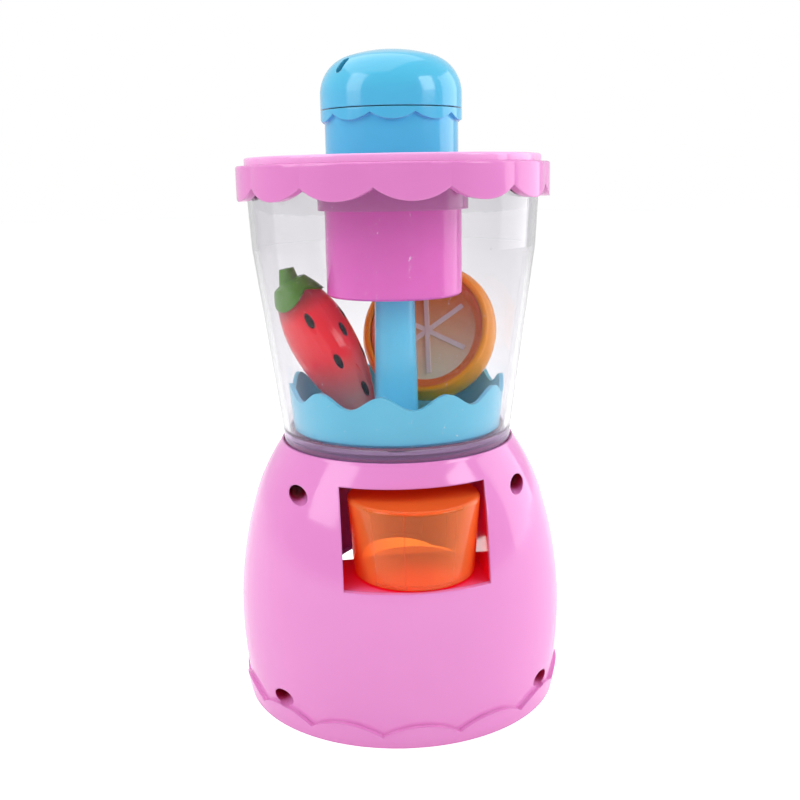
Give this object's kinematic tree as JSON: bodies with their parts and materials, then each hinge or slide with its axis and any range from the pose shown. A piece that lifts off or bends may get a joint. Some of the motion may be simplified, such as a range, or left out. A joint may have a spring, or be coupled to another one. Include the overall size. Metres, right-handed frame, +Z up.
{
  "type": "toy blender",
  "caption": "Play blender: hollow base with a juice groove and a cup bay, clear jar with toy fruit on a wave-edged tray, and a petalled lid with a press knob that turns the tray.",
  "frame": {"origin": "centre of the base's underside, on the axis of the jar and the knob", "axes": "+Z up; -Y towards the side with the juice groove; +Y towards the cup's bay; +X to the right seen from the groove's side"},
  "size_m": [0.1348, 0.1342, 0.26],
  "materials": {
    "base_pink": "gloss",
    "lid_pink": "gloss",
    "housing_pink": "gloss",
    "clear": "clear",
    "tray_blue": "gloss",
    "knob_blue": "gloss",
    "juice_orange": "translucent",
    "berry_red": "translucent",
    "leaf_green": "gloss",
    "peel_orange": "gloss",
    "flesh_brown": "satin",
    "membrane_cream": "satin",
    "steel": "satin",
    "drive_white": "satin"
  },
  "bodies": {
    "base": {"base_back_shell": "base_pink", "base_front_shell": "base_pink", "juice_chute": "base_pink", "serving_bay": "base_pink", "jar_socket": "base_pink", "bottom_cover": "base_pink", "base_screws": "steel", "cover_screws": "steel"},
    "juice": {"juice_half_left": "juice_orange", "juice_half_right": "juice_orange"},
    "jar": {"jar": "clear"},
    "tray": {"tray": "tray_blue", "strawberry_body": "berry_red", "strawberry_cap": "leaf_green", "orange_peel": "peel_orange", "orange_flesh": "flesh_brown", "orange_membranes": "membrane_cream"},
    "lid": {"lid_body": "lid_pink", "petal_plate": "lid_pink", "lid_screws": "steel", "drive_housing": "housing_pink", "rotor_cover": "drive_white", "rotor_cover_screws": "steel"},
    "rotor": {"drive_rotor": "drive_white"},
    "knob": {"knob_sleeve": "knob_blue", "knob_dome": "knob_blue", "twist_bar": "drive_white", "bar_screw": "steel", "dome_screws": "steel", "return_spring": "steel"}
  },
  "joints": [
    {"name": "juice_slide", "type": "slide", "parent": "base", "child": "juice", "axis": [0, -1, 0], "range_m": [-0.012, 0.062]},
    {"name": "jar_lift", "type": "slide", "parent": "base", "child": "jar", "axis": [0, 0, 1], "range_m": [0, 0.06]},
    {"name": "tray_spin", "type": "hinge", "parent": "jar", "child": "tray", "pos_m": [0, 0, 0.1117], "axis": [0, 0, 1], "range_deg": [0, 90]},
    {"name": "lid_lift", "type": "slide", "parent": "jar", "child": "lid", "axis": [0, 0, 1], "range_m": [0, 0.06]},
    {"name": "rotor_spin", "type": "hinge", "parent": "lid", "child": "rotor", "pos_m": [0, 0, 0.1681], "axis": [0, 0, 1], "range_deg": [0, 90]},
    {"name": "knob_press", "type": "slide", "parent": "lid", "child": "knob", "axis": [0, 0, -1], "range_m": [0, 0.012], "stiffness_N_per_m": 250, "springref_m": -0.004, "deforming": ["return_spring"]}
  ],
  "couplings": [
    {"joint": "knob_press", "follows": "tray_spin", "m_per_rad": 0.0076394},
    {"joint": "rotor_spin", "follows": "tray_spin", "ratio": 1}
  ]
}
